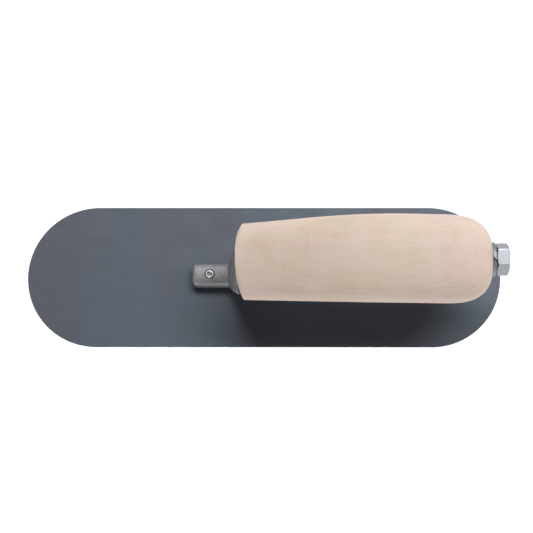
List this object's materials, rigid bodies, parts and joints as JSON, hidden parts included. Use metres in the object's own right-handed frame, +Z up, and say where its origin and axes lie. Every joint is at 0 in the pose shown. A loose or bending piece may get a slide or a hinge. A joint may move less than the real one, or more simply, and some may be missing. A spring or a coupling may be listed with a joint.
{
  "type": "finishing trowel",
  "caption": "Round-ended finishing trowel: thin flat steel blade, cast aluminium mounting, and a camel-back wooden handle held by a long bolt.",
  "frame": {"origin": "middle of the blade's flat working face, which is also the middle of the object's bottom", "axes": "+X along the blade towards the bolt end of the handle, +Y across the blade, +Z up from the blade to the handle"},
  "size_m": [0.254, 0.0762, 0.0762],
  "materials": {
    "spring_steel": "blued spring steel, smooth and half glossy",
    "cast_aluminium": "tumbled casting, grainy and dull",
    "stud_steel": "bright where it was rolled over",
    "bare_wood": "pale close-grained hardwood, sanded, without varnish",
    "zinc_plate": "bright zinc plating with a faint blue cast"
  },
  "bodies": {
    "root": {"blade": "spring_steel", "mount_casting": "cast_aluminium", "blade_stud_1": "stud_steel", "blade_stud_2": "stud_steel", "blade_stud_3": "stud_steel", "blade_stud_4": "stud_steel", "handle": "bare_wood", "lock_washer": "zinc_plate", "handle_bolt": "zinc_plate"}
  },
  "joints": []
}
